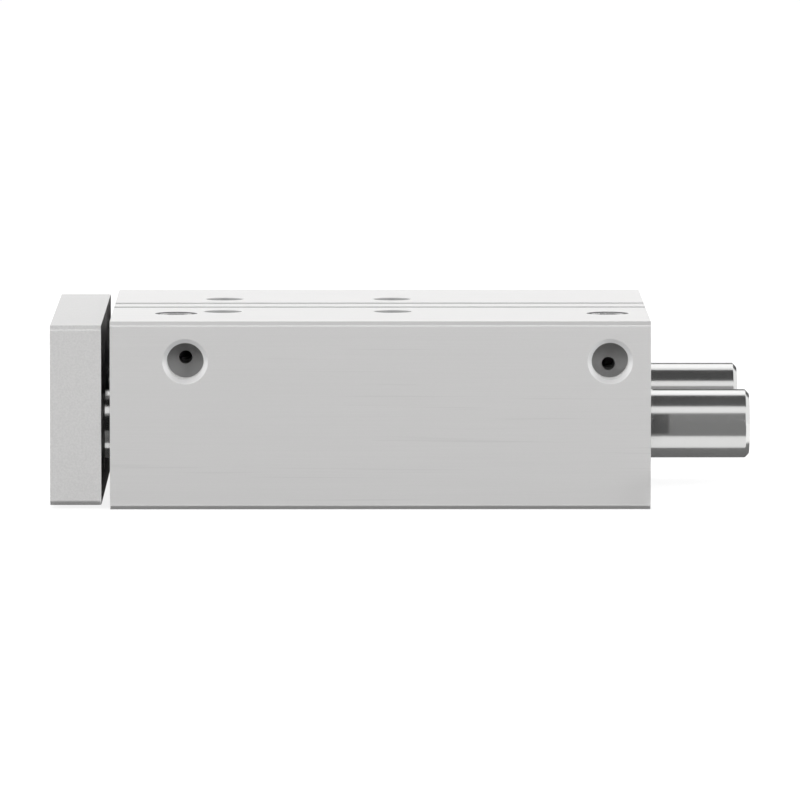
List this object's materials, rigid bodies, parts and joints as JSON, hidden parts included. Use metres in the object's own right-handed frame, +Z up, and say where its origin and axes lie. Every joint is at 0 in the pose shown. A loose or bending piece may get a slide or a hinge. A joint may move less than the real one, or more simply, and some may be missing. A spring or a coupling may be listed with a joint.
{
  "type": "guided pneumatic cylinder",
  "caption": "Compact guided air cylinder: aluminium block with a piston and parallel guide rods that push a front yoke plate, air ports in one side, sensor slots and mounting holes in the top.",
  "frame": {"origin": "on the base plane, in the middle of the four mounting holes of the housing block", "axes": "+X along the stroke, from the yoke plate to the free ends of the guide rods; +Z up, away from the base; the air ports face -Y"},
  "size_m": [0.1633, 0.104, 0.044],
  "materials": {
    "housing_aluminium": "clear anodised, drawn surface with fine lengthwise lines",
    "yoke_aluminium": "clear anodised, finely blasted",
    "cap_aluminium": "turned and clear anodised",
    "piston_aluminium": "turned",
    "rod_steel": "ground and hard chromed",
    "screw_steel": "zinc plated",
    "plug_steel": "nickel plated",
    "spring_steel": "phosphated spring steel",
    "bush_bronze": "sintered bronze",
    "seal_rubber": "matt",
    "buffer_rubber": "matt",
    "magnet_compound": "plastic-bonded ferrite",
    "wear_ring_plastic": "acetal"
  },
  "bodies": {
    "housing": {"housing_block": "housing_aluminium", "front_cap": "cap_aluminium", "rear_cap": "cap_aluminium", "port_plugs": "plug_steel", "front_cap_circlip": "spring_steel", "rear_cap_circlip": "spring_steel", "front_bush_near": "bush_bronze", "front_bush_far": "bush_bronze", "rear_bush_near": "bush_bronze", "rear_bush_far": "bush_bronze", "rod_bush": "bush_bronze", "guide_wiper_near": "seal_rubber", "guide_wiper_far": "seal_rubber", "rod_seal": "seal_rubber", "front_cap_o_ring": "seal_rubber", "rear_cap_o_ring": "seal_rubber", "front_buffer": "buffer_rubber", "rear_buffer": "buffer_rubber"},
    "carriage": {"yoke_plate": "yoke_aluminium", "guide_rod_near": "rod_steel", "guide_rod_far": "rod_steel", "guide_rod_screws": "screw_steel", "piston_rod": "rod_steel", "piston_rod_screw": "screw_steel", "piston_front_half": "piston_aluminium", "piston_rear_half": "piston_aluminium", "piston_magnet": "magnet_compound", "piston_wear_ring": "wear_ring_plastic", "piston_seals": "seal_rubber", "piston_nut": "screw_steel"}
  },
  "joints": [
    {"name": "yoke_stroke", "type": "slide", "parent": "housing", "child": "carriage", "axis": [-1, 0, 0], "range_m": [0, 0.08]}
  ]
}
